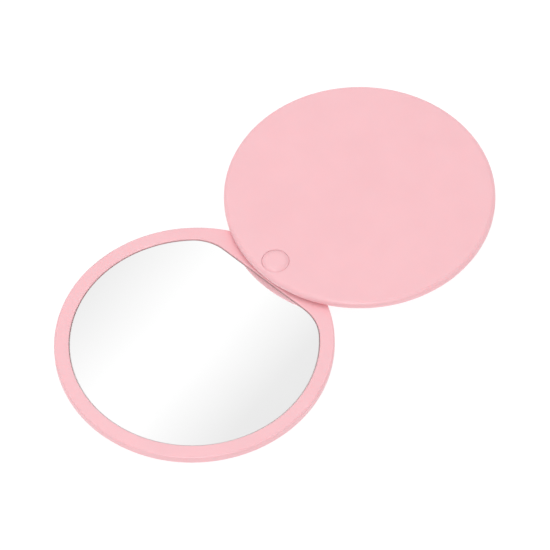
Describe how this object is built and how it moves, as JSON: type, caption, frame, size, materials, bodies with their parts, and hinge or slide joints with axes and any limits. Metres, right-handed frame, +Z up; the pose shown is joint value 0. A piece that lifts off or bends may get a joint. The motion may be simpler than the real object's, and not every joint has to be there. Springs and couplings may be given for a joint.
{
  "type": "swivel cover pocket mirror",
  "caption": "Round pocket mirror: a tray holds a truncated-disc glass mirror, and a round cover swivels over it on a button-headed pivot pin near the edge.",
  "frame": {"origin": "centre of the tray's flat underside", "axes": "+Z up through the tray, +X from the tray's centre to the swivel pivot and the open cover"},
  "size_m": [0.1331, 0.073, 0.0062],
  "materials": {
    "pink_plastic": "satin",
    "mirror": "polished",
    "mirror_tape": "matt",
    "slip_washer": "satin",
    "spring_steel": "rolled"
  },
  "bodies": {
    "tray": {"base_tray": "pink_plastic", "mirror_glass": "mirror", "mirror_tape": "mirror_tape", "slip_washer": "slip_washer", "wave_washer": "spring_steel"},
    "cover": {"cover_plate": "pink_plastic", "pivot_pin": "pink_plastic", "pivot_socket": "pink_plastic"}
  },
  "joints": [
    {"name": "cover_swivel", "type": "hinge", "parent": "tray", "child": "cover", "pos_m": [0.0308, 0, 0.0031], "axis": [0, 0, 1], "continuous": true}
  ]
}
